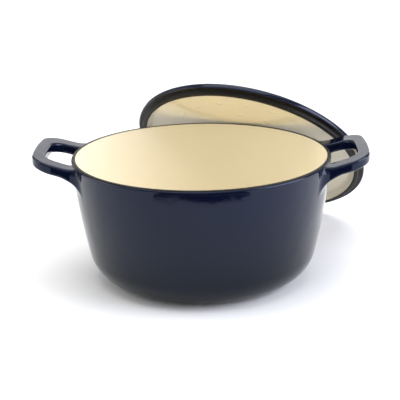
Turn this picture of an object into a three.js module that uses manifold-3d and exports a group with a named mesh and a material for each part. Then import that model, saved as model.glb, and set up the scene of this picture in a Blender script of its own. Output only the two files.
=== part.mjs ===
// An enamelled cast iron dutch oven, 26 cm across, with its lid off and leaning on the back of the rim.
// Millimetres, +Z up. The origin is the centre of the pot's base, and the two handles lie along X.
import * as THREE from "three";
import { mergeVertices } from "three/addons/utils/BufferGeometryUtils.js";
import Module from "manifold-3d";

const wasm = await Module();
wasm.setup();

// ---- Driving dimensions ----

const GAP = 0.3; // between pieces that touch
const COAT = 0.5; // thickness of an enamel coat
const OVERCUT = 20; // how far a cut runs past the surface it opens

// The pot's outside: a flat base, a corner arc, and a wall that bellies out to the rim.
const POT = {
  height: 130,
  rimRadius: 133.4,
  cornerRadius: 38,
  lowerFlare: THREE.MathUtils.degToRad(13), // the wall's lean outwards where it leaves the corner
  upperFlare: THREE.MathUtils.degToRad(4.3), // and at the rim
  beadHeight: 5, // a slim bead round the rim
  beadSlope: 0.8, // height over which the wall steps out to it
  rimRoundHeight: 2.4,
  rimRoundWidth: 0.9,
  ironWall: 3.4,
};

// One loop handle in plan: x is measured from the pot's axis, y from the handle's centreline.
const HANDLE = {
  rootX: 118, // inside the wall, where the arms start
  bendX: 131.4, // the arms run level up to here and then rise
  rise: 0.28,
  topAtRoot: 128.5,
  thickness: 10.3,
  edgeRadius: 2.7,
  outer: { rootY: 53.9, armY: 52.5, cornerRadius: 23.4, endX: 169.4, crown: 1.3 },
  inner: { rootY: 36.4, armY: 32.8, cornerRadius: 15.6, endX: 158, crown: 0.4 },
  webStartX: 142, // the arms grow deeper from here to the wall
  webDepth: 0.022, // drop of the web's underside per square millimetre
};

// The lid in its own frame: z = 0 is the flange that sits on the pot's rim.
const LID = {
  radius: 133.4,
  edgeHeight: 6.6,
  shoulder: 4, // radius of the edge's rounding into the crown
  crownHeight: 21,
  toeRadius: 132.8, // the edge is broken here, at the flange
  toeHeight: 0.8,
  ridgeOuter: 127.4, // the ridge that centres the lid in the pot's mouth
  ridgeInner: 122.3,
  ridgeDepth: 4.3,
  ridgeRound: 0.8,
  ridgeDraft: 0.4,
  hollowRadius: 118.2, // where the hollow's side meets its dome
  hollowSide: 3.5,
  hollowDepth: 16.2,
  coatEdge: 131.6, // the flange's coat stops here, short of the rounded edge
  bossRadius: 13, // the flat boss under the knob
  bossHeight: 1,
  bossSlope: 1.6,
  screwHole: 3.4,
};

// How the lid leans: its axis points up and back, and its lowest edge is on the ground.
const LEAN = {
  axisElevation: THREE.MathUtils.degToRad(45.1),
  turn: THREE.MathUtils.degToRad(20.5), // the axis' turn from +Y towards +X
  x: 51.9,
  y: 138.7,
};

// Condensation nubs on the lid's underside: rings of small domes.
const NUB = { radius: 3.4, height: 1.5 };
const NUB_RINGS = [
  { radius: 30, count: 6 },
  { radius: 58, count: 12 },
  { radius: 88, count: 18 },
];

// The knob is a hollow mushroom. Its outside and its inside run as [radius, height above the foot].
const KNOB = {
  outside: [
    [12, 0], [11.2, 2], [9.5, 5.8], [11.1, 11], [18, 15.8], [21, 19.7], [18.6, 24], [10.5, 27.8], [0, 29],
  ],
  inside: [[0, 27.6], [10.5, 26.4], [17, 22.6], [19.6, 19.7], [17, 17.4], [7.7, 13], [7.7, 0]],
  washerRadius: 11,
  washerThickness: 1.2,
  insertRadius: 7.4,
  insertLength: 21,
  insertCap: 2, // the threaded hole is blind
  threadRadius: 3,
  screwHeadRadius: 6,
  screwHeadHeight: 3.4,
  screwHeadRound: 1.5,
  screwLength: 27,
  screwTip: 0.8,
  slotWidth: 1.6,
  slotDepth: 1.5,
  flatWasherRadius: 8,
  flatWasherThickness: 1,
};

const ROUND_STEPS = 48; // facets round the pot and the lid
const SMALL_STEPS = 24; // facets round the knob and its fasteners
const CORNER_STEPS = 6; // facets up the pot's bottom corner
const WALL_STEPS = 5; // facets up its wall
const DOME_STEPS = 7; // facets from the middle of the lid to its edge
const SHOULDER_STEPS = 3; // facets over the lid's rounded edge
const NUB_STEPS = 8; // facets round a nub
const KNOB_STEPS = 16; // facets up the knob's outside
const ARM_STEPS = 6; // sections along a handle's arm
const BEND_STEPS = 7; // sections round the bend from the arm to the grip
const GRIP_STEPS = 3; // sections along half of the grip
const EDGE_POINTS = 2; // points on each rounded edge of a handle's section

// ---- Materials ----

const paint = (color, roughness, metalness = 0) =>
  new THREE.MeshStandardMaterial({ color, roughness, metalness });

const material = {
  navyEnamel: paint(0x1b2140, 0.15),
  creamEnamel: paint(0xecdcb0, 0.12),
  blackEnamel: paint(0x2b2a2a, 0.45),
  steel: paint(0xc2c3c6, 0.25, 1),
  brass: paint(0xb6924a, 0.35, 1),
  silicone: paint(0x3a3a3c, 0.8),
};

// ---- Helpers ----

const v2 = (x, y) => new THREE.Vector2(x, y);

// Points on an arc about (cx, cy), from one angle to the other in radians, both ends included.
function arc(cx, cy, radius, from, to, steps) {
  const points = [];
  for (let i = 0; i <= steps; i++) {
    const angle = from + ((to - from) * i) / steps;
    points.push(v2(cx + radius * Math.cos(angle), cy + radius * Math.sin(angle)));
  }
  return points;
}

// A closed solid of revolution about Z. The outline runs anticlockwise in (radius, z), and is closed
// here if neither end is on the axis.
function turned(outline, steps = ROUND_STEPS) {
  const points = [...outline];
  if (points[0].x > 0 || points.at(-1).x > 0) points.push(points[0].clone());
  return new THREE.LatheGeometry(points, steps).rotateX(Math.PI / 2);
}

// The outline moved sideways: to its left for a positive distance, with mitred corners.
function offsetLine(points, distance) {
  const normals = points.slice(1).map((p, i) => {
    const along = p.clone().sub(points[i]).normalize();
    return v2(-along.y, along.x);
  });
  return points.map((p, i) => {
    const before = normals[Math.max(i - 1, 0)];
    const after = normals[Math.min(i, normals.length - 1)];
    const mitre = before.clone().add(after).normalize();
    return p.clone().addScaledVector(mitre, distance / mitre.dot(before));
  });
}

function solid(geometry) {
  const bare = geometry.clone();
  bare.deleteAttribute("normal");
  bare.deleteAttribute("uv");
  const merged = mergeVertices(bare, 1e-3);
  return new wasm.Manifold(
    new wasm.Mesh({
      numProp: 3,
      vertProperties: new Float32Array(merged.attributes.position.array),
      triVerts: new Uint32Array(merged.index.array),
    }),
  );
}

function geometryOf(manifold) {
  const mesh = manifold.getMesh();
  const geometry = new THREE.BufferGeometry();
  geometry.setAttribute("position", new THREE.BufferAttribute(mesh.vertProperties, 3));
  geometry.setIndex(new THREE.BufferAttribute(mesh.triVerts, 1));
  geometry.computeVertexNormals();
  return geometry;
}

function piece(name, geometry, itsMaterial) {
  const mesh = new THREE.Mesh(geometry, itsMaterial);
  mesh.name = name;
  return mesh;
}

// ---- The pot ----

// The pot's outside line, or a line parallel to it further in, from the axis up to the given height.
// The wall is one wide arc that meets the corner arc without a kink.
function wallLine(inset, topZ) {
  const { height, rimRadius, cornerRadius, lowerFlare, upperFlare } = POT;
  const footZ = cornerRadius * (1 - Math.sin(lowerFlare));
  const bellyRadius = (height - footZ) / (Math.sin(lowerFlare) - Math.sin(upperFlare));
  const bellyX = rimRadius - bellyRadius * Math.cos(upperFlare);
  const bellyZ = footZ + bellyRadius * Math.sin(lowerFlare);
  const cornerX = bellyX + (bellyRadius - cornerRadius) * Math.cos(lowerFlare);
  const radius = bellyRadius - inset;
  const topAngle = Math.asin((topZ - bellyZ) / radius);
  return [
    v2(0, inset),
    ...arc(cornerX, cornerRadius, cornerRadius - inset, -Math.PI / 2, -lowerFlare, CORNER_STEPS),
    ...arc(bellyX, bellyZ, radius, -lowerFlare, topAngle, WALL_STEPS).slice(1),
  ];
}

const rimSeat = POT.height - COAT - GAP; // top of the iron, under the rim's coat
const cavityInset = POT.ironWall + GAP + COAT; // from the outside to the surface that the food touches

// The outside of the iron: the wall, a slim bead round the rim, and the flat top.
function castingOutline() {
  const { height, rimRadius, beadHeight, beadSlope, rimRoundHeight, rimRoundWidth } = POT;
  return [
    ...wallLine(0, height - beadHeight),
    v2(rimRadius, height - beadHeight + beadSlope),
    v2(rimRadius, height - rimRoundHeight),
    v2(rimRadius - rimRoundWidth, rimSeat),
    v2(0, rimSeat),
  ];
}

// ---- The handles ----

// One side's outline in plan, from the root to the middle of the grip, as evenly shared stations.
function handleEdge({ rootY, armY, cornerRadius, endX, crown }) {
  const cornerX = endX - cornerRadius;
  const cornerY = armY - cornerRadius;
  const points = [];
  for (let i = 0; i < ARM_STEPS; i++) {
    const t = i / ARM_STEPS;
    points.push(v2(
      THREE.MathUtils.lerp(HANDLE.rootX, cornerX, t),
      THREE.MathUtils.lerp(rootY, armY, t),
    ));
  }
  points.push(...arc(cornerX, cornerY, cornerRadius, Math.PI / 2, 0, BEND_STEPS));
  for (let i = 1; i <= GRIP_STEPS; i++) {
    const t = i / GRIP_STEPS;
    points.push(v2(endX + crown * t * (2 - t), cornerY * (1 - t)));
  }
  return points;
}

const handleTop = (x) => HANDLE.topAtRoot + HANDLE.rise * Math.max(x - HANDLE.bendX, 0);

function handleUnderside(x) {
  const web = HANDLE.webDepth * Math.max(HANDLE.webStartX - x, 0) ** 2;
  return handleTop(x) - HANDLE.thickness - web;
}

// A rounded rectangle standing on the line from the inner to the outer edge.
function handleSection(inner, outer) {
  const width = inner.distanceTo(outer);
  const radius = HANDLE.edgeRadius;
  const points = [];
  for (let i = 0; i < 4 * EDGE_POINTS; i++) {
    const corner = Math.floor(i / EDGE_POINTS); // lower outer, upper outer, upper inner, lower inner
    const share = (i % EDGE_POINTS) / (EDGE_POINTS - 1);
    const angle = (corner + share - 1) * (Math.PI / 2);
    const along = (corner < 2 ? width - radius : radius) + radius * Math.cos(angle);
    const plan = inner.clone().lerp(outer, along / width);
    const top = handleTop(plan.x) - radius;
    const bottom = handleUnderside(plan.x) + radius;
    const z = (corner === 1 || corner === 2 ? top : bottom) + radius * Math.sin(angle);
    points.push(new THREE.Vector3(plan.x, plan.y, z));
  }
  return points;
}

// A closed skin over a row of sections that all have the same number of points.
function loft(sections) {
  const count = sections[0].length;
  const positions = sections.flat().flatMap((p) => p.toArray());
  const index = [];
  for (let s = 0; s + 1 < sections.length; s++) {
    for (let i = 0; i < count; i++) {
      const [a, b] = [s * count + i, s * count + ((i + 1) % count)];
      index.push(a, b, a + count, b, b + count, a + count);
    }
  }
  const last = (sections.length - 1) * count;
  for (let i = 1; i + 1 < count; i++) {
    index.push(0, i + 1, i, last, last + i, last + i + 1);
  }
  const geometry = new THREE.BufferGeometry();
  geometry.setAttribute("position", new THREE.Float32BufferAttribute(positions, 3));
  geometry.setIndex(index);
  return geometry;
}

function handle() {
  const inner = handleEdge(HANDLE.inner);
  const outer = handleEdge(HANDLE.outer);
  const half = inner.map((point, i) => [point, outer[i]]);
  const mirrored = half.slice(0, -1).reverse().map((pair) => pair.map((p) => v2(p.x, -p.y)));
  return loft([...half, ...mirrored].map(([a, b]) => handleSection(a, b)));
}

function potCasting() {
  const inside = wallLine(POT.ironWall, rimSeat);
  const above = POT.height + OVERCUT;
  const cavity = [...inside, v2(inside.at(-1).x, above), v2(0, above)];
  return geometryOf(
    solid(turned(castingOutline()))
      .add(solid(handle()))
      .add(solid(handle().rotateZ(Math.PI)))
      .subtract(solid(turned(cavity))),
  );
}

function potInteriorEnamel() {
  const back = wallLine(POT.ironWall + GAP, rimSeat);
  const face = wallLine(cavityInset, rimSeat);
  return turned([...back, ...face.reverse()]);
}

function potRimEnamel() {
  const inner = wallLine(cavityInset, POT.height - COAT).at(-1).x;
  const outer = POT.rimRadius - POT.rimRoundWidth;
  return turned([
    v2(inner, POT.height - COAT),
    v2(outer, POT.height - COAT),
    v2(outer - COAT / 2, POT.height),
    v2(inner, POT.height),
  ]);
}

// ---- The lid, in its own frame ----

// A shallow dome's height at a radius, from its height in the middle and at its edge.
const dome = (r, middle, edge, edgeRadius) => middle - (middle - edge) * (r / edgeRadius) ** 2;
const crownEdge = LID.radius - LID.shoulder;
const crownHeight = (r) => dome(r, LID.crownHeight, LID.edgeHeight, crownEdge);
const hollowHeight = (r) => dome(r, LID.hollowDepth, LID.hollowSide, LID.hollowRadius);

function domeLine(from, to, steps, height) {
  return Array.from({ length: steps + 1 }, (_, i) => {
    const r = THREE.MathUtils.lerp(from, to, i / steps);
    return v2(r, height(r));
  });
}

// The face of the cream coat, from the ridge's inner edge to the screw hole.
function hollowLine(holeRadius) {
  return [
    v2(LID.ridgeInner, GAP - LID.ridgeDepth),
    ...domeLine(LID.hollowRadius, holeRadius, DOME_STEPS, hollowHeight),
  ];
}

// The face of the black coat, from the flange's edge to the bottom of the ridge.
function flangeLine() {
  const { coatEdge, ridgeOuter, ridgeInner, ridgeDepth, ridgeRound, ridgeDraft } = LID;
  return [
    v2(coatEdge, 0),
    v2(ridgeOuter + ridgeRound, 0),
    v2(ridgeOuter, -ridgeRound),
    v2(ridgeOuter - ridgeDraft, ridgeRound - ridgeDepth),
    v2(ridgeOuter - ridgeDraft - ridgeRound, -ridgeDepth),
    v2(ridgeInner + ridgeRound, -ridgeDepth),
  ];
}

// A coat's outline from its face, which runs towards the middle of the lid.
function coat(face) {
  return [...offsetLine(face, -COAT), ...face.reverse()];
}

function lidCasting() {
  const behind = COAT + GAP;
  const underFlange = offsetLine(flangeLine(), -behind).slice(0, -1);
  const underHollow = offsetLine(hollowLine(LID.screwHole), -behind).slice(1);
  const { radius, edgeHeight, shoulder, toeRadius, toeHeight, bossRadius, bossSlope } = LID;
  const bossTop = LID.crownHeight + LID.bossHeight;
  const toe = LID.coatEdge + GAP;
  return turned([
    ...underHollow.reverse(),
    ...underFlange.reverse(),
    v2(toe, behind),
    v2(toe, 0),
    v2(toeRadius, 0),
    v2(radius, toeHeight),
    ...arc(crownEdge, edgeHeight - shoulder, shoulder, 0, Math.PI / 2, SHOULDER_STEPS),
    ...domeLine(crownEdge, bossRadius + bossSlope, DOME_STEPS, crownHeight).slice(1),
    v2(bossRadius, bossTop),
    v2(LID.screwHole, bossTop),
  ]);
}

// One nub as a closed lens, its back just inside the coat, at the given place on the hollow.
function nub(ringRadius, angle) {
  const slope = (2 * (LID.hollowDepth - LID.hollowSide) * ringRadius) / LID.hollowRadius ** 2;
  const lens = [
    v2(0, -NUB.height),
    v2(NUB.radius / 2, dome(NUB.radius / 2, -NUB.height, 0, NUB.radius)),
    v2(NUB.radius, 0),
    v2(0, COAT / 2),
  ];
  return turned(lens, NUB_STEPS)
    .rotateY(Math.atan(slope))
    .translate(ringRadius, 0, hollowHeight(ringRadius))
    .rotateZ(angle);
}

function lidInteriorEnamel() {
  let body = solid(turned(coat(hollowLine(LID.screwHole + GAP))));
  for (const { radius, count } of NUB_RINGS) {
    for (let i = 0; i < count; i++) {
      body = body.add(solid(nub(radius, (2 * Math.PI * i) / count)));
    }
  }
  return geometryOf(body);
}

// ---- The knob and its fasteners, in the lid's frame ----

const washerFoot = LID.crownHeight + LID.bossHeight + GAP;
const knobFoot = washerFoot + KNOB.washerThickness + GAP;

// A plain ring, or a disc with a hole.
function ring(inner, outer, foot, thickness) {
  return turned([
    v2(inner, foot),
    v2(outer, foot),
    v2(outer, foot + thickness),
    v2(inner, foot + thickness),
  ], SMALL_STEPS);
}

function lidKnob() {
  const toPoint = ([radius, height]) => v2(radius, height);
  const outside = new THREE.SplineCurve(KNOB.outside.map(toPoint)).getPoints(KNOB_STEPS);
  outside.at(-1).x = 0;
  return turned([...KNOB.inside.map(toPoint), ...outside], SMALL_STEPS).translate(0, 0, knobFoot);
}

// The threaded core that the screw pulls on, pressed into the knob's neck.
function knobInsert() {
  const { insertRadius, insertLength, insertCap, threadRadius } = KNOB;
  const bore = threadRadius + GAP;
  return turned([
    v2(bore, 0),
    v2(insertRadius, 0),
    v2(insertRadius, insertLength),
    v2(0, insertLength),
    v2(0, insertLength - insertCap),
    v2(bore, insertLength - insertCap),
  ], SMALL_STEPS).translate(0, 0, knobFoot + GAP);
}

const flatWasherFoot = LID.hollowDepth - GAP - KNOB.flatWasherThickness;
const headTop = flatWasherFoot - GAP;

// A slotted pan-head screw, driven up from inside the lid.
function knobScrew() {
  const { screwHeadRadius, screwHeadHeight, screwHeadRound, threadRadius, screwTip } = KNOB;
  const headFoot = headTop - screwHeadHeight;
  const end = headTop + KNOB.screwLength;
  const body = turned([
    v2(0, headFoot),
    v2(screwHeadRadius - screwHeadRound, headFoot),
    v2(screwHeadRadius, headFoot + screwHeadRound),
    v2(screwHeadRadius, headTop),
    v2(threadRadius, headTop),
    v2(threadRadius, end - screwTip),
    v2(threadRadius - screwTip, end),
    v2(0, end),
  ], SMALL_STEPS);
  const slot = new THREE.BoxGeometry(3 * screwHeadRadius, KNOB.slotWidth, 2 * KNOB.slotDepth);
  return geometryOf(solid(body).subtract(solid(slot.translate(0, 0, headFoot))));
}

// ---- The assembly ----

const pot = new THREE.Group();
pot.add(
  piece("pot_casting", potCasting(), material.navyEnamel),
  piece("pot_interior_enamel", potInteriorEnamel(), material.creamEnamel),
  piece("pot_rim_enamel", potRimEnamel(), material.blackEnamel),
);

const lid = new THREE.Group();
lid.add(
  piece("lid_casting", lidCasting(), material.navyEnamel),
  piece("lid_interior_enamel", lidInteriorEnamel(), material.creamEnamel),
  piece("lid_rim_enamel", turned(coat(flangeLine())), material.blackEnamel),
  piece(
    "knob_washer",
    ring(LID.screwHole, KNOB.washerRadius, washerFoot, KNOB.washerThickness),
    material.silicone,
  ),
  piece("lid_knob", lidKnob(), material.steel),
  piece("knob_insert", knobInsert(), material.brass),
  piece(
    "screw_washer",
    ring(LID.screwHole, KNOB.flatWasherRadius, flatWasherFoot, KNOB.flatWasherThickness),
    material.steel,
  ),
  piece("knob_screw", knobScrew(), material.steel),
);
lid.rotation.set(LEAN.axisElevation - Math.PI / 2, 0, -LEAN.turn, "ZYX");
lid.position.set(LEAN.x, LEAN.y, LID.toeRadius * Math.cos(LEAN.axisElevation) + GAP / 2);

const dutchOven = new THREE.Group();
dutchOven.add(pot, lid);
export default dutchOven;
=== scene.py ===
"""The looks of an enamelled cast iron dutch oven, its lid off and leaning on the back of the rim.

Metres, +Z up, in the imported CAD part's frame. Each piece below stands for one node of that part and is
finer than it: castings with blended handles, glossy coats of enamel, and a turned steel knob.
"""

import math
from itertools import product

import bpy
import numpy as np
from mathutils import Matrix, Vector


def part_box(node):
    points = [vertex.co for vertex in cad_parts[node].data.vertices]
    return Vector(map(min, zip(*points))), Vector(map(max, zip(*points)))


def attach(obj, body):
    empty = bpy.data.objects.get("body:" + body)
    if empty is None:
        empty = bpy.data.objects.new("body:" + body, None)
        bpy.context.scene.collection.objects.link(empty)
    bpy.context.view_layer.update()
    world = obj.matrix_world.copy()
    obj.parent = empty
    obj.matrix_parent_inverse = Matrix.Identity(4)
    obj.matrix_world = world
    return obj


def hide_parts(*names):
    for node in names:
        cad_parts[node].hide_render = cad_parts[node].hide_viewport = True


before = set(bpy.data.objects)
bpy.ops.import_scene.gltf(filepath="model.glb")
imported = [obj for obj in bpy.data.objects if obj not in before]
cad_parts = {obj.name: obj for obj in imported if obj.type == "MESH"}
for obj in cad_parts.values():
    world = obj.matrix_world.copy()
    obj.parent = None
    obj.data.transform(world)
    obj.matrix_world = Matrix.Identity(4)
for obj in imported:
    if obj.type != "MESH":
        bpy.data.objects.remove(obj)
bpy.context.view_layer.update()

MM = 0.001

# ---- Sizes, as the CAD part has them ----

RIM_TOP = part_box("pot_rim_enamel")[1].z
RIM_COAT_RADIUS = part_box("pot_rim_enamel")[1].x
RIM_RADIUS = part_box("pot_casting")[1].y
HANDLE_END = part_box("pot_casting")[1].x

COAT = 0.5 * MM  # an enamel coat's thickness
GAP = 0.3 * MM  # between neighbouring pieces
HAIR = 0.02 * MM  # keeps two surfaces from lying in each other
SHARP_ANGLE = math.radians(35)  # edges that turn by more stay crisp
RIM_SEAT = RIM_TOP - COAT - GAP  # the top of the iron, under the rim's coat

CORNER_RADIUS = 38 * MM  # between the flat base and the wall
LOWER_FLARE = math.radians(13)  # the wall's lean outwards where it leaves the corner
UPPER_FLARE = math.radians(4.3)  # and at the rim
IRON_WALL = 3.4 * MM
FACE_INSET = IRON_WALL + GAP + COAT  # from the outside to the cream surface
BEAD_HEIGHT = 4.4 * MM
BEAD_OVERLAP = 2 * MM  # how far the bead's ring reaches into the wall
RIM_ROUND = 1.5 * MM

# Heights on the lid are above the plane of its flange, with the knob up.
LID_RADIUS = 133.2 * MM  # a little within the part, whose facets cut its circle short
LID_EDGE_HEIGHT = 6.6 * MM
LID_SHOULDER = 4 * MM
LID_CROWN = 21 * MM
RIDGE_OUTER = 127.4 * MM
RIDGE_INNER = 122.3 * MM
RIDGE_DEPTH = 4.3 * MM  # below the flange
HOLLOW_RADIUS = 118.2 * MM
HOLLOW_SIDE = 3.5 * MM  # the hollow's height at its side
HOLLOW_MIDDLE = 16.2 * MM  # and at its middle
FLANGE_COAT_EDGE = 131.6 * MM
SCREW_HOLE = 3.4 * MM

ROUND_STEPS = 300  # round the pot and the lid


# ---- Mesh helpers ----


def arc(centre, radius, start, end, steps):
    """Points on an arc from one angle to the other, both ends included."""
    return [
        (centre[0] + radius * math.cos(a), centre[1] + radius * math.sin(a))
        for a in np.linspace(start, end, steps + 1)
    ]


def rounded(corners, steps=6):
    """An outline through (radius, z, rounding) corners, with each corner rounded by an arc."""
    outline = []
    count = len(corners)
    for i, (x, z, rounding) in enumerate(corners):
        corner = Vector((x, z))
        if rounding == 0:
            outline.append((x, z))
            continue
        before = (Vector(corners[i - 1][:2]) - corner).normalized()
        after = (Vector(corners[(i + 1) % count][:2]) - corner).normalized()
        half_angle = before.angle(after) / 2
        centre = corner + (before + after).normalized() * (rounding / math.sin(half_angle))
        reach = rounding / math.tan(half_angle)
        start, end = corner + before * reach - centre, corner + after * reach - centre
        turn = start.angle_signed(end)
        start_angle = math.atan2(start.y, start.x)
        outline.extend(arc(centre, rounding, start_angle, start_angle - turn, steps))
    return outline


def add_mesh(name, points, faces, material, sharp_angle=SHARP_ANGLE):
    """A smooth shaded object that is linked into the scene."""
    mesh = bpy.data.meshes.new(name)
    mesh.from_pydata([tuple(p) for p in points], [], [tuple(f) for f in faces])
    mesh.shade_smooth()
    mesh.set_sharp_from_angle(angle=sharp_angle)
    mesh.materials.append(material)
    obj = bpy.data.objects.new(name, mesh)
    bpy.context.scene.collection.objects.link(obj)
    return obj


def revolve(outline, steps):
    """Points and faces of the closed solid that an anticlockwise (radius, z) outline sweeps about Z."""
    angles = np.linspace(0, 2 * math.pi, steps, endpoint=False)
    points, rings = [], []
    for radius, z in outline:
        on_axis = radius < 1e-7
        rings.append((len(points), on_axis))
        turns = angles[:1] if on_axis else angles
        points.extend((radius * math.cos(a), radius * math.sin(a), z) for a in turns)
    faces = []
    for (low, low_axis), (high, high_axis) in zip(rings, rings[1:] + rings[:1]):
        if low_axis and high_axis:
            continue
        for i in range(steps):
            j = (i + 1) % steps
            ring_low = [low] if low_axis else [low + i, low + j]
            ring_high = [high] if high_axis else [high + j, high + i]
            faces.append(ring_low + ring_high)
    return points, faces


def turned(name, outline, material, steps=ROUND_STEPS):
    """A turned piece, from half of its section."""
    return add_mesh(name, *revolve(outline, steps), material)


def combine(obj, tool, operation):
    """The object's mesh becomes its union or difference with the tool, which is used up."""
    modifier = obj.modifiers.new("combine", "BOOLEAN")
    modifier.operation = operation
    modifier.solver = "MANIFOLD"
    modifier.object = tool
    evaluated = obj.evaluated_get(bpy.context.evaluated_depsgraph_get())
    made = bpy.data.meshes.new_from_object(evaluated)
    old, obj.data = obj.data, made
    obj.modifiers.clear()
    bpy.data.meshes.remove(old)
    bpy.data.objects.remove(tool)


# ---- Shapes given by their distance field, which is negative inside ----


def rounded_overlap(a, b, radius):
    """The field of what two shapes share, with the edge between them rounded."""
    at_edge = np.hypot(np.maximum(a + radius, 0), np.maximum(b + radius, 0))
    return np.minimum(np.maximum(a, b), -radius) + at_edge


def blended(a, b, radius):
    """The field of two shapes joined with a fillet."""
    near = np.maximum(radius - np.abs(a - b), 0)
    return np.minimum(a, b) - near * near / (4 * radius)


def smooth_step(x, low, high):
    """From 0 to 1 as x goes from low to high, level at both ends."""
    t = np.clip((x - low) / (high - low), 0, 1)
    return t * t * (3 - 2 * t)


def gradient(field, points, step=0.02 * MM):
    """The field's slope at each point."""
    columns = []
    for axis in np.eye(3) * step:
        columns.append(field(*(points + axis).T) - field(*(points - axis).T))
    return np.stack(columns, axis=1) / (2 * step)


def onto_surface(field, points, rounds=3):
    """The points moved along the field's slope until they are on its zero level."""
    for _ in range(rounds):
        slope = gradient(field, points)
        height = field(*points.T)
        points = points - slope * (height / np.maximum((slope**2).sum(1), 1e-12))[:, None]
    return points


def surface_net(field, lines, relax_rounds=6):
    """Points and outward quads of a field's zero level, one point to a grid cell that it crosses."""
    inside = field(*np.meshgrid(*lines, indexing="ij")) < 0
    cells = [len(line) - 1 for line in lines]
    filled = sum(
        inside[i : i + cells[0], j : j + cells[1], k : k + cells[2]].astype(np.int8)
        for i, j, k in product((0, 1), repeat=3)
    )
    crossed = (filled > 0) & (filled < 8)
    index = np.full(crossed.shape, -1)
    index[crossed] = np.arange(crossed.sum())
    middles = [(line[1:] + line[:-1]) / 2 for line in lines]
    points = np.stack([middle[i] for middle, i in zip(middles, np.nonzero(crossed))], axis=1)

    faces = []
    for axis in range(3):
        first, second = [a for a in range(3) if a != axis]
        low = np.take(inside, range(cells[axis]), axis)
        high = np.take(inside, range(1, cells[axis] + 1), axis)
        at = np.argwhere(low != high)
        leaving = low[tuple(at.T)]
        corners = []
        for step_first, step_second in ((-1, -1), (0, -1), (0, 0), (-1, 0)):
            cell = at.copy()
            cell[:, first] += step_first
            cell[:, second] += step_second
            corners.append(index[tuple(cell.T)])
        quads = np.stack(corners, axis=1)
        turn_over = leaving if axis == 1 else ~leaving  # from X to Z is the other way about Y
        quads[turn_over] = quads[turn_over][:, ::-1]
        faces.append(quads)
    faces = np.concatenate(faces)

    points = onto_surface(field, points)
    edges = np.concatenate([faces[:, [i, (i + 1) % 4]] for i in range(4)])
    edges = np.concatenate([edges, edges[:, ::-1]])
    here, neighbour = edges.T
    neighbours = np.bincount(here, minlength=len(points))[:, None]
    for _ in range(relax_rounds):
        sums = [np.bincount(here, points[neighbour, axis], len(points)) for axis in range(3)]
        points = onto_surface(field, np.stack(sums, axis=1) / neighbours, 1)
    return onto_surface(field, points), faces


def set_field_normals(mesh, field, near=0.03 * MM):
    """Faces on the field's surface take their normals from its slope, so that reflections run smooth."""
    mesh.shade_smooth()
    mesh.set_sharp_from_angle(angle=SHARP_ANGLE)
    points = np.empty(len(mesh.vertices) * 3)
    mesh.vertices.foreach_get("co", points)
    points = points.reshape(-1, 3)
    slopes = gradient(field, points)
    slopes /= np.linalg.norm(slopes, axis=1)[:, None]
    on_surface = np.abs(field(*points.T)) < near
    normals = np.array([corner.vector for corner in mesh.corner_normals])
    loop_vertex = np.empty(len(mesh.loops), int)
    mesh.loops.foreach_get("vertex_index", loop_vertex)
    agree = (normals * slopes[loop_vertex]).sum(1) > 0.8  # not so where a cut has left a crisp edge
    use = on_surface[loop_vertex] & agree
    normals[use] = slopes[loop_vertex[use]]
    mesh.normals_split_custom_set(normals.tolist())


# ---- The pot ----

# The wall is one wide arc that meets the corner's arc without a kink.
FOOT_Z = CORNER_RADIUS * (1 - math.sin(LOWER_FLARE))
BELLY_RADIUS = (RIM_TOP - FOOT_Z) / (math.sin(LOWER_FLARE) - math.sin(UPPER_FLARE))
BELLY_CENTRE = (
    RIM_RADIUS - BELLY_RADIUS * math.cos(UPPER_FLARE),
    FOOT_Z + BELLY_RADIUS * math.sin(LOWER_FLARE),
)
CORNER_CENTRE = (
    BELLY_CENTRE[0] + (BELLY_RADIUS - CORNER_RADIUS) * math.cos(LOWER_FLARE),
    CORNER_RADIUS,
)


def wall_line(inset, top_z, corner_steps=20, belly_steps=40):
    """The pot's profile, or a line parallel to it further in, from the axis up to a height."""
    radius = BELLY_RADIUS - inset
    top_angle = math.asin((top_z - BELLY_CENTRE[1]) / radius)
    return [
        (0, inset),
        *arc(CORNER_CENTRE, CORNER_RADIUS - inset, -math.pi / 2, -LOWER_FLARE, corner_steps),
        *arc(BELLY_CENTRE, radius, -LOWER_FLARE, top_angle, belly_steps)[1:],
    ]


def wall_field(radius, z):
    """Distance to the outside of the pot without its bead and handles."""
    belly = np.hypot(radius - BELLY_CENTRE[0], z - BELLY_CENTRE[1]) - BELLY_RADIUS
    corner = np.hypot(radius - CORNER_CENTRE[0], z - CORNER_CENTRE[1]) - CORNER_RADIUS
    angle = np.arctan2(z - CORNER_CENTRE[1], radius - CORNER_CENTRE[0])
    in_corner = (angle < -LOWER_FLARE) & (radius > CORNER_CENTRE[0])
    over_base = radius <= CORNER_CENTRE[0]
    wall = np.where(in_corner, corner, np.where(over_base, np.maximum(belly, -z), belly))
    return rounded_overlap(wall, z - RIM_SEAT, RIM_ROUND)


class Handle:
    """One loop handle: x from the pot's axis, y from the handle's centreline."""

    ROOT_X = 118 * MM  # inside the pot's wall
    BEND_X = 131.4 * MM  # the arms run level up to here, then rise
    BEND_SOFTNESS = 5 * MM
    RISE = 0.28
    TOP_AT_ROOT = 128.5 * MM
    THICKNESS = 10.3 * MM
    EDGE_ROUND = 2.2 * MM
    WEB_START_X = 142 * MM  # the arms deepen from here to the wall
    WEB_DEPTH = 0.022 / MM
    OUTER = {
        "root_y": 53.9 * MM,
        "arm_y": 52.5 * MM,
        "corner": 23.4 * MM,
        "inset": 0,
        "crown": 1.3 * MM,
    }
    INNER = {
        "root_y": 36.4 * MM,
        "arm_y": 32.8 * MM,
        "corner": 15.6 * MM,
        "inset": 12.3 * MM,
        "crown": 0.4 * MM,
    }
    ROOT_FILLET = 8 * MM  # where an arm's sides and underside meet the wall
    TOP_FILLET = 2 * MM
    TOP_FILLET_LOW = TOP_AT_ROOT - 7 * MM  # the fillet narrows between these heights
    TOP_FILLET_HIGH = TOP_AT_ROOT - 1 * MM


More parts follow.
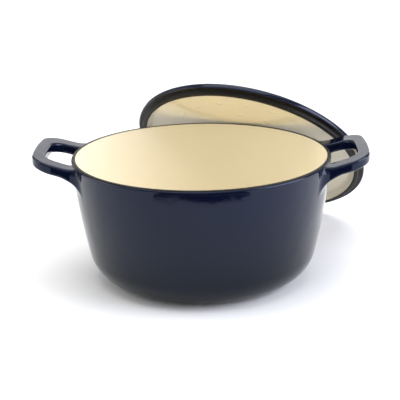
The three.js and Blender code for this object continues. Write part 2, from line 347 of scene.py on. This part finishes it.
def loop_edge(x, y, root_y, arm_y, corner, inset, crown):
    """Distance in plan to the area within one edge of the handle, whose end bulges by its crown."""
    end_x = HANDLE_END - inset - crown
    along = np.clip((x - Handle.ROOT_X) / (end_x - corner - Handle.ROOT_X), 0, 1)
    half_width = root_y + (arm_y - root_y) * along
    across = np.abs(y)
    bulge = crown * (1 - np.clip(across / (half_width - corner), 0, 1) ** 2)
    u = x - bulge - (end_x - corner)
    v = across - (half_width - corner)
    return np.minimum(np.maximum(u, v), 0) + np.hypot(np.maximum(u, 0), np.maximum(v, 0)) - corner


def handle_field(x, y, z):
    """Distance to both handles, which mirror each other."""
    x = np.abs(x)
    bend = np.hypot(x - Handle.BEND_X, Handle.BEND_SOFTNESS)
    rise = (x - Handle.BEND_X + bend) / 2 - Handle.BEND_SOFTNESS**2 / (4 * bend)
    top = Handle.TOP_AT_ROOT + Handle.RISE * rise
    web = Handle.WEB_DEPTH * np.maximum(Handle.WEB_START_X - x, 0) ** 2
    under = top - Handle.THICKNESS - web
    level = (np.abs(z - (top + under) / 2) - (top - under) / 2) * math.cos(math.atan(Handle.RISE))
    outer = loop_edge(x, y, **Handle.OUTER)
    inner = loop_edge(x, y, **Handle.INNER)
    behind_root = Handle.ROOT_X - x
    plan = np.maximum(np.maximum(outer, -inner), behind_root)
    return rounded_overlap(plan, level, Handle.EDGE_ROUND)


def pot_field(x, y, z):
    """Distance to the outside of the pot and its handles."""
    to_top = smooth_step(z, Handle.TOP_FILLET_LOW, Handle.TOP_FILLET_HIGH)
    fillet = Handle.ROOT_FILLET + (Handle.TOP_FILLET - Handle.ROOT_FILLET) * to_top
    return blended(wall_field(np.hypot(x, y), z), handle_field(x, y, z), fillet)


def grid_line(low, high, fine_zones, coarse=3 * MM, fine=1.2 * MM):
    """Grid positions from low to high, closer together inside the zones."""
    marks = sorted({low, high, *(edge for zone in fine_zones for edge in zone)})
    line = []
    for start, end in zip(marks, marks[1:]):
        middle = (start + end) / 2
        pitch = fine if any(a < middle < b for a, b in fine_zones) else coarse
        line.append(np.linspace(start, end, math.ceil((end - start) / pitch), endpoint=False))
    return np.concatenate([*line, [high]])


def rim_bead(material):
    """The slim ring that stands out from the wall under the rim's coat."""
    inner = RIM_RADIUS - BEAD_OVERLAP
    foot = RIM_TOP - BEAD_HEIGHT
    top = RIM_SEAT - HAIR
    outline = rounded(
        [
            (inner, foot, 0),
            (RIM_RADIUS, foot, 0.25 * MM),
            (RIM_RADIUS, top, RIM_ROUND),
            (inner, top, 0),
        ]
    )
    return turned("bead", outline, material)


def cavity(material):
    """What the iron leaves free inside the pot, carried up through the mouth."""
    inside = wall_line(IRON_WALL, RIM_SEAT)
    mouth_radius = inside[-1][0]
    above = RIM_TOP + 20 * MM
    return turned("cavity", [*inside, (mouth_radius, above), (0, above)], material)


def pot_casting(material):
    room = 3 * MM  # round the shape
    handles_from_x = 112 * MM  # the grid is fine from here outwards,
    arm_y = 62 * MM  # within this on each side,
    arms_from_z = 96 * MM  # and from here up
    reach = HANDLE_END + room
    radius = RIM_RADIUS + room
    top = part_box("pot_casting")[1].z + room
    lines = [
        grid_line(-reach, reach, [(-reach, -handles_from_x), (handles_from_x, reach)]),
        grid_line(-radius, radius, [(-arm_y, arm_y)]),
        grid_line(-room, top, [(arms_from_z, top)]),
    ]
    points, faces = surface_net(pot_field, lines)
    pot = add_mesh("pot_shell", points, faces, material)
    combine(pot, rim_bead(material), "UNION")
    combine(pot, cavity(material), "DIFFERENCE")
    set_field_normals(pot.data, pot_field)
    return pot


def pot_lining(material):
    top = RIM_TOP - COAT / 2
    back = wall_line(IRON_WALL + GAP, top)
    face = wall_line(FACE_INSET, top, corner_steps=28, belly_steps=48)
    return turned("pot_lining", [*back, *reversed(face)], material)


def pot_rim_coat(material):
    clear_of_lining = 0.05 * MM  # keeps its inner side off the lining's face
    inner = wall_line(FACE_INSET + clear_of_lining, RIM_TOP)[-1][0]
    outline = rounded(
        [
            (inner, RIM_SEAT, 0),
            (RIM_COAT_RADIUS, RIM_SEAT, 0),
            (RIM_COAT_RADIUS, RIM_TOP, 0.5 * MM),
            (inner, RIM_TOP, 0.6 * MM),
        ]
    )
    return turned("pot_rim_coat", outline, material)


# ---- The lid ----


def lid_frame():
    """The lid's own axes at rest: its origin in the flange's plane, and Z out through the knob."""
    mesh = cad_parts["lid_rim_enamel"].data
    points = np.array([tuple(v.co) for v in mesh.vertices])
    centre = points.mean(0)
    axis = Vector(np.linalg.svd(points - centre, full_matrices=False)[2][2])
    knob_low, knob_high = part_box("lid_knob")
    if axis.dot((knob_low + knob_high) / 2 - Vector(centre)) < 0:
        axis.negate()
    heights = (points - centre) @ np.array(axis)
    origin = Vector(centre) + axis * (heights.min() + RIDGE_DEPTH)
    x_axis = axis.cross(Vector((0, 0, 1))).normalized()
    y_axis = axis.cross(x_axis)
    placed = Matrix((x_axis, y_axis, axis)).transposed().to_4x4()
    placed.translation = origin
    return placed


def dome(radius, middle, edge, edge_radius):
    """The height of a shallow dome, from its heights at the middle and the edge."""
    return middle - (middle - edge) * (radius / edge_radius) ** 2


CROWN_EDGE = LID_RADIUS - LID_SHOULDER
BOSS_RADIUS = 13 * MM
BOSS_TOP = LID_CROWN + 1 * MM


def crown_height(radius):
    return dome(radius, LID_CROWN, LID_EDGE_HEIGHT, CROWN_EDGE)


def hollow_height(radius):
    return dome(radius, HOLLOW_MIDDLE, HOLLOW_SIDE, HOLLOW_RADIUS)


def lid_casting(material):
    behind = COAT + GAP  # the iron lies this far behind the coats
    toe = FLANGE_COAT_EDGE + HAIR
    edge_round = 0.9 * MM
    boss_round = 1 * MM
    under = [(r, hollow_height(r) + behind) for r in np.linspace(SCREW_HOLE, HOLLOW_RADIUS, 40)]
    edge = rounded(
        [
            (RIDGE_INNER + 1 * MM, behind - RIDGE_DEPTH, 0),
            (RIDGE_OUTER - 1.4 * MM, behind - RIDGE_DEPTH, 0),
            (RIDGE_OUTER - behind, behind, 0),
            (toe, behind, 0),
            (toe, 0, 0),
            (LID_RADIUS, 0, edge_round),
            (LID_RADIUS, LID_EDGE_HEIGHT, 0),
        ]
    )[:-1]  # the shoulder goes on from the last of them
    shoulder_centre = (CROWN_EDGE, LID_EDGE_HEIGHT - LID_SHOULDER)
    shoulder = arc(shoulder_centre, LID_SHOULDER, 0, math.radians(80), 10)
    crown_radii = np.linspace(CROWN_EDGE - 1 * MM, BOSS_RADIUS + 2 * MM, 50)
    crown = [(r, crown_height(r)) for r in crown_radii]
    boss = arc((BOSS_RADIUS - boss_round, BOSS_TOP - boss_round), boss_round, 0, math.pi / 2, 5)
    outline = [*under, *edge, *shoulder, *crown, *boss, (SCREW_HOLE, BOSS_TOP)]
    return turned("lid_shell", outline, material)


# Condensation nubs on the underside, in rings: (ring radius, how many).
NUB_RINGS = [(30 * MM, 6), (58 * MM, 12), (88 * MM, 18)]
NUB_RADIUS = 3.6 * MM
NUB_HEIGHT = 1.1 * MM


def nub_depth(x, y):
    """How far the nubs stand out of the hollow at a place on it."""
    depth = np.zeros_like(x)
    for ring, count in NUB_RINGS:
        for i in range(count):
            angle = 2 * math.pi * i / count
            away = np.hypot(x - ring * math.cos(angle), y - ring * math.sin(angle))
            depth += NUB_HEIGHT * (1 - smooth_step(away, 0, NUB_RADIUS))
    return depth


def lid_lining(material):
    steps, rings = 420, 110  # fine enough for the nubs
    hollow = [(r, hollow_height(r)) for r in np.linspace(SCREW_HOLE + GAP, HOLLOW_RADIUS, rings)]
    before_side = HOLLOW_RADIUS - 4 * MM
    side = rounded(
        [
            (before_side, hollow_height(before_side), 0),
            (HOLLOW_RADIUS, HOLLOW_SIDE, 3 * MM),
            (RIDGE_INNER, GAP - RIDGE_DEPTH, 0),
            (RIDGE_INNER, 0, 0),
        ]
    )[1:-1]  # its first and last points only give the line its direction
    face = [p for p in hollow if p[0] < side[0][0] - 0.2 * MM] + side
    coarse_face = [*face[:-1:5], face[-1]]  # enough for the hidden back
    back = [(r + (COAT if z < 0 else 0), z + COAT) for r, z in coarse_face]
    points, faces = revolve([*reversed(face), *back], steps)
    points = np.array(points)
    on_face = np.arange(len(points)) < len(face) * steps
    depth = nub_depth(points[:, 0], points[:, 1])
    points[on_face, 2] -= depth[on_face]
    outward = [quad[::-1] for quad in faces]
    return add_mesh("lid_lining", points, outward, material, sharp_angle=math.radians(60))


def lid_rim_coat(material):
    inner = RIDGE_INNER + HAIR
    outline = rounded(
        [
            (inner, GAP - RIDGE_DEPTH + 0.8 * MM, 0),
            (inner, -RIDGE_DEPTH, 1.1 * MM),
            (RIDGE_OUTER - 0.4 * MM, -RIDGE_DEPTH, 1.1 * MM),
            (RIDGE_OUTER, 0, 0.9 * MM),
            (FLANGE_COAT_EDGE, 0, 0),
            (FLANGE_COAT_EDGE, COAT, 0),
            (RIDGE_OUTER - COAT, COAT, 0),
            (RIDGE_OUTER - 1.2 * MM, COAT - RIDGE_DEPTH, 0),
            (RIDGE_INNER + 1.2 * MM, COAT - RIDGE_DEPTH, 0),
        ]
    )
    return turned("lid_rim_coat", outline, material)


# ---- The knob and its fasteners, in the lid's frame ----

WASHER_FOOT = BOSS_TOP + GAP
WASHER_THICKNESS = 1.2 * MM
WASHER_RADIUS = 11 * MM
KNOB_FOOT = WASHER_FOOT + WASHER_THICKNESS + GAP
CORE_RADIUS = 7.4 * MM
CORE_LENGTH = 21 * MM
CORE_CAP = 2 * MM  # closes the core's bore
THREAD_RADIUS = 3 * MM
FLAT_WASHER_RADIUS = 8 * MM
FLAT_WASHER_THICKNESS = 1 * MM
FLAT_WASHER_FOOT = HOLLOW_MIDDLE - GAP - FLAT_WASHER_THICKNESS
SCREW_HEAD_TOP = FLAT_WASHER_FOOT - GAP
SCREW_HEAD_RADIUS = 6 * MM
SCREW_HEAD_HEIGHT = 3.4 * MM
SCREW_LENGTH = 27 * MM
SLOT_HALF_WIDTH = 0.8 * MM
SLOT_DEPTH = 1.5 * MM

# The knob's sheet in half section, in millimetres from its foot: (radius, height).
KNOB_OUTSIDE = [
    (12, 0), (11.2, 2), (9.5, 5.8), (11.1, 11), (18, 15.8), (21, 19.7), (18.6, 24), (10.5, 27.8), (0, 29),
]
KNOB_INSIDE = [(0, 27.6), (10.5, 26.4), (17, 22.6), (19.4, 19.7), (17, 17.4), (7.7, 13), (7.7, 0)]


def spline(points, steps):
    """A smooth line through points, as Catmull and Rom draw it."""
    line = []
    padded = [points[0], *points, points[-1]]
    for a, b, c, d in zip(padded, padded[1:], padded[2:], padded[3:]):
        a, b, c, d = (np.array(p, float) for p in (a, b, c, d))
        square = 2 * a - 5 * b + 4 * c - d
        cube = 3 * b - a - 3 * c + d
        for t in np.linspace(0, 1, steps, endpoint=False):
            line.append(0.5 * (2 * b + (c - a) * t + square * t**2 + cube * t**3))
    return [tuple(p) for p in line] + [tuple(points[-1])]


def lid_knob(material):
    line = [*spline(KNOB_INSIDE, 5), *spline(KNOB_OUTSIDE, 8)]
    outline = [(max(r, 0) * MM, z * MM + KNOB_FOOT) for r, z in line]
    return turned("knob_body", outline, material, 128)


def plain_ring(name, outer, foot, thickness, rounding, material):
    """A washer round the screw."""
    top = foot + thickness
    outline = rounded(
        [
            (SCREW_HOLE, foot, rounding),
            (outer, foot, rounding),
            (outer, top, rounding),
            (SCREW_HOLE, top, rounding),
        ],
        steps=3,
    )
    return turned(name, outline, material, 96)


def knob_gasket(material):
    return plain_ring("knob_gasket", WASHER_RADIUS, WASHER_FOOT, WASHER_THICKNESS, 0.3 * MM, material)


def screw_washer(material):
    return plain_ring(
        "flat_washer", FLAT_WASHER_RADIUS, FLAT_WASHER_FOOT, FLAT_WASHER_THICKNESS, 0.2 * MM, material
    )


def knob_insert(material):
    bore = THREAD_RADIUS + GAP
    foot = KNOB_FOOT + GAP
    top = foot + CORE_LENGTH
    bore_end = top - CORE_CAP
    outline = [
        (bore, foot),
        (CORE_RADIUS, foot),
        (CORE_RADIUS, top),
        (0, top),
        (0, bore_end),
        (bore, bore_end),
    ]
    return turned("knob_core", outline, material, 64)


def screw_slot(foot, material):
    """The block that cuts the driver's slot across the screw's head."""
    half = np.array((SCREW_HEAD_RADIUS + 1 * MM, SLOT_HALF_WIDTH, SLOT_DEPTH))
    corners = [half * signs + (0, 0, foot) for signs in product((-1, 1), repeat=3)]
    sides = [(0, 1, 3, 2), (4, 6, 7, 5), (0, 4, 5, 1), (2, 3, 7, 6), (0, 2, 6, 4), (1, 5, 7, 3)]
    return add_mesh("slot", corners, sides, material)


def knob_screw(material):
    foot = SCREW_HEAD_TOP - SCREW_HEAD_HEIGHT
    end = SCREW_HEAD_TOP + SCREW_LENGTH
    outline = rounded(
        [
            (0, foot, 0),
            (SCREW_HEAD_RADIUS, foot, 1.6 * MM),
            (SCREW_HEAD_RADIUS, SCREW_HEAD_TOP, 0.2 * MM),
            (THREAD_RADIUS, SCREW_HEAD_TOP, 0),
            (THREAD_RADIUS, end, 0.8 * MM),
            (0, end, 0),
        ]
    )
    screw = turned("screw_body", outline, material, 64)
    combine(screw, screw_slot(foot, material), "DIFFERENCE")
    return screw


# ---- Materials ----


class Nodes:
    """A material's node tree with short ways to add to it."""

    def __init__(self, name):
        self.material = bpy.data.materials.new(name)
        self.material.use_nodes = True
        self.tree = self.material.node_tree
        self.shader = self.tree.nodes["Principled BSDF"]
        self.place = self.tree.nodes.new("ShaderNodeTexCoord").outputs["Object"]

    def link(self, output, socket):
        self.tree.links.new(output, socket)

    def noise(self, scale, detail):
        node = self.tree.nodes.new("ShaderNodeTexNoise")
        node.inputs["Scale"].default_value = scale
        node.inputs["Detail"].default_value = detail
        self.link(self.place, node.inputs["Vector"])
        return node.outputs["Fac"]

    def ramp(self, value, *stops):
        """A colour from a value, by two stops."""
        node = self.tree.nodes.new("ShaderNodeValToRGB")
        for element, (position, colour) in zip(node.color_ramp.elements, stops):
            element.position = position
            element.color = (*colour, 1)
        self.link(value, node.inputs["Fac"])
        return node.outputs["Color"]

    def spread(self, value, low, high, to_low, to_high):
        """The value's range from low to high, made to run from to_low to to_high."""
        node = self.tree.nodes.new("ShaderNodeMapRange")
        ends = {"From Min": low, "From Max": high, "To Min": to_low, "To Max": to_high}
        for name, number in ends.items():
            node.inputs[name].default_value = number
        self.link(value, node.inputs["Value"])
        return node.outputs["Result"]

    def mix(self, factor, a, b):
        """A colour between two, each of them a socket or a plain colour."""
        node = self.tree.nodes.new("ShaderNodeMix")
        node.data_type = "RGBA"
        self.link(factor, node.inputs["Factor"])
        for name, colour in (("A_Color", a), ("B_Color", b)):
            socket = next(s for s in node.inputs if s.identifier == name)
            if isinstance(colour, bpy.types.NodeSocket):
                self.link(colour, socket)
            else:
                socket.default_value = (*colour, 1)
        return next(s for s in node.outputs if s.identifier == "Result_Color")

    def height(self):
        split = self.tree.nodes.new("ShaderNodeSeparateXYZ")
        self.link(self.place, split.inputs[0])
        return split.outputs["Z"]

    def bump(self, value, distance, before=None):
        """Bumps this high in metres, on top of the bumps before them."""
        node = self.tree.nodes.new("ShaderNodeBump")
        node.inputs["Strength"].default_value = 1.0
        node.inputs["Distance"].default_value = distance
        self.link(value, node.inputs["Height"])
        if before:
            self.link(before, node.inputs["Normal"])
        self.link(node.outputs["Normal"], self.shader.inputs["Normal"])
        return node.outputs["Normal"]

    def set(self, **values):
        """The shader's sockets by name, each to a plain value or another node's output."""
        for name, value in values.items():
            socket = self.shader.inputs[name.replace("_", " ")]
            if isinstance(value, bpy.types.NodeSocket):
                self.link(value, socket)
            else:
                socket.default_value = (*value, 1) if isinstance(value, tuple) else value


def navy_enamel(name, painted_foot_shade):
    """Navy enamel, which on the pot turns greyer towards the foot: painted shade that stands in for the
    shaded floor the low wall mirrors.
    """
    n = Nodes(name)
    navy = (0.0022, 0.0038, 0.0150)
    mottle = (0.0032, 0.0050, 0.0170)
    # the colour of the painted shade at the foot
    foot = (0.002, 0.002, 0.0025)
    base = n.mix(n.spread(n.noise(45, 3), 0.35, 0.65, 0.0, 0.35), navy, mottle)
    if painted_foot_shade:
        # painted shade: the base colour greys towards the foot in place of the mirrored shaded floor
        base = n.mix(n.spread(n.height(), 0.0, RIM_TOP * 0.85, 0.0, 1.0), foot, base)
    n.set(Base_Color=base, IOR=1.385, Specular_Tint=(0.70, 0.80, 1.0))
    n.set(Roughness=n.spread(n.noise(30, 4), 0.3, 0.7, 0.05, 0.10))
    waves = n.bump(n.noise(38, 1.5), 0.0004)
    ripples = n.bump(n.noise(110, 1.5), 0.00006, before=waves)
    n.bump(n.noise(420, 2), 0.00002, before=ripples)
    return n.material


def cream_enamel(name, smoothest, roughest):
    """Cream enamel, a little warmer in patches."""
    n = Nodes(name)
    warm = (0.87, 0.795, 0.605)
    pale = (0.885, 0.81, 0.63)
    n.set(Base_Color=n.mix(n.spread(n.noise(14, 3), 0.2, 0.8, 0.0, 1.0), warm, pale), IOR=1.5)
    n.set(Roughness=n.spread(n.noise(26, 4), 0.2, 0.8, smoothest, roughest))
    waves = n.bump(n.noise(30, 1.5), 0.00025)
    n.bump(n.noise(380, 2), 0.000015, before=waves)
    return n.material


def black_enamel():
    """Matt black enamel with fine grey specks."""
    n = Nodes("black_enamel")
    black = (0.006, 0.005, 0.004)
    speck = (0.020, 0.018, 0.013)
    n.set(Base_Color=n.ramp(n.noise(900, 2), (0.35, black), (0.7, speck)), IOR=1.25)
    n.set(Roughness=n.spread(n.noise(240, 3), 0.3, 0.7, 0.38, 0.52))
    n.bump(n.noise(700, 3), 0.00006)
    return n.material


def turned_metal(name, colour, smoothest, roughest):
    n = Nodes(name)
    darker = tuple(c * 0.82 for c in colour)
    n.set(Base_Color=n.mix(n.noise(900, 2), colour, darker), Metallic=1.0)
    n.set(Roughness=n.spread(n.noise(500, 4), 0.3, 0.7, smoothest, roughest))
    n.bump(n.noise(1500, 2), 0.00001)
    return n.material


def silicone():
    n = Nodes("silicone")
    dark = (0.02, 0.02, 0.022)
    pale = (0.03, 0.03, 0.032)
    n.set(Base_Color=n.mix(n.noise(1200, 2), dark, pale), Roughness=0.75)
    n.bump(n.noise(2500, 2), 0.00002)
    return n.material


# ---- The assembly ----


def place(obj, node, body, at=None):
    """The piece stands for its CAD node and rides on its body."""
    if at:
        obj.data.transform(at)
    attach(obj, body)
    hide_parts(node)


# the pot's navy carries painted shade towards its foot, the lid's does not
navy = navy_enamel("navy_enamel", painted_foot_shade=True)
lid_navy = navy_enamel("navy_enamel_lid", painted_foot_shade=False)
cream = cream_enamel("cream_enamel", 0.22, 0.28)  # duller than the lid's
lid_cream = cream_enamel("cream_enamel_lid", 0.08, 0.13)
black = black_enamel()
steel = turned_metal("knob_steel", (0.60, 0.60, 0.61), 0.16, 0.30)
bright = turned_metal("screw_steel", (0.62, 0.62, 0.62), 0.2, 0.35)
brass = turned_metal("brass", (0.60, 0.45, 0.20), 0.25, 0.4)

place(pot_casting(navy), "pot_casting", "pot")
place(pot_lining(cream), "pot_interior_enamel", "pot")
place(pot_rim_coat(black), "pot_rim_enamel", "pot")

leaning = lid_frame()
place(lid_casting(lid_navy), "lid_casting", "lid", leaning)
place(lid_lining(lid_cream), "lid_interior_enamel", "lid", leaning)
place(lid_rim_coat(black), "lid_rim_enamel", "lid", leaning)
place(knob_gasket(silicone()), "knob_washer", "lid", leaning)
place(lid_knob(steel), "lid_knob", "lid", leaning)
place(knob_insert(brass), "knob_insert", "lid", leaning)
place(screw_washer(bright), "screw_washer", "lid", leaning)
place(knob_screw(bright), "knob_screw", "lid", leaning)


# ---- The floor, the light and the camera ----


def matt(name, colour):
    """Paint without gloss for the studio's own surfaces."""
    n = Nodes(name)
    n.set(Base_Color=colour, Roughness=0.9, Specular_IOR_Level=0.0)
    return n.material


def studio_floor():
    half = 7.0  # wide enough to fill every view
    corners = [(-half, -half, 0), (half, -half, 0), (half, half, 0), (-half, half, 0)]
    floor = add_mesh("floor", corners, [(0, 1, 2, 3)], matt("floor", (0.94, 0.94, 0.94)))


def soft_box(name, at, target, size, power, colour=(1, 1, 1)):
    """A square area light that faces its target."""
    light = bpy.data.lights.new(name, "AREA")
    light.color = colour
    light.shape = "SQUARE"
    light.size = size
    light.energy = power
    obj = bpy.data.objects.new(name, light)
    obj.location = at
    obj.rotation_euler = (Vector(target) - Vector(at)).to_track_quat("-Z", "Y").to_euler()
    bpy.context.scene.collection.objects.link(obj)


def studio_sky(strength):
    world = bpy.data.worlds.new("studio")
    bpy.context.scene.world = world
    world.use_nodes = True
    background = world.node_tree.nodes["Background"]
    background.inputs["Color"].default_value = (1, 1, 1, 1)
    background.inputs["Strength"].default_value = strength


def dark_card():
    """A black card on the floor in front, which only reflections show: the glossy wall mirrors it."""
    half_width = 0.215
    near_y = -0.350
    near_curve = 1.05  # the near edge curves with the pot's wall
    far_y = -0.9
    far_widening = 2.6
    z = 0.002
    steps = 25
    near = [(x, near_y + near_curve * x * x, z) for x in np.linspace(-half_width, half_width, steps)]
    far = [(-far_widening * x, far_y, z) for x, _, _ in near]
    face = range(2 * steps - 1, -1, -1)
    card = add_mesh("dark_card", near + far, [face], matt("card", (0.01, 0.01, 0.012)))
    card.rotation_euler.z = CAMERA_AZIMUTH
    card.visible_camera = False
    card.visible_shadow = False
    card.visible_diffuse = False


LOOK_AT = Vector((-0.002, 0, 0.0795))
CAMERA_DISTANCE = 1.15
CAMERA_AZIMUTH = math.radians(1.91)
CAMERA_ELEVATION = math.radians(17.64)
CAMERA_ROLL = math.radians(-1.04)
LENS_MM = 99.13
SENSOR_MM = 36


def camera():
    data = bpy.data.cameras.new("camera")
    data.sensor_width = SENSOR_MM
    data.lens = LENS_MM
    obj = bpy.data.objects.new("camera", data)
    back = Vector((0, -math.cos(CAMERA_ELEVATION), math.sin(CAMERA_ELEVATION)))
    back.rotate(Matrix.Rotation(CAMERA_AZIMUTH, 3, "Z"))
    at = Matrix.Translation(LOOK_AT + back * CAMERA_DISTANCE)
    upright = back.to_track_quat("Z", "Y").to_matrix().to_4x4()
    obj.matrix_world = at @ upright @ Matrix.Rotation(CAMERA_ROLL, 4, "Z")
    bpy.context.scene.collection.objects.link(obj)
    bpy.context.scene.camera = obj


studio_floor()
studio_sky(0.5)
soft_box("right", (1.35, -0.35, 0.62), (0, 0, 0.10), 1.2, 26, (0.92, 0.95, 1.10))
soft_box("left", (-1.5, 0.0, 0.7), (0, 0, 0.08), 1.2, 9)
soft_box("back", (0.1, 2.6, 0.9), (0, 0, 0.1), 2.4, 15)
soft_box("top", (-0.1, 0.1, 2.4), (0, 0, 0), 2.4, 50)
dark_card()
camera()
bpy.context.scene.view_settings.view_transform = "Standard"
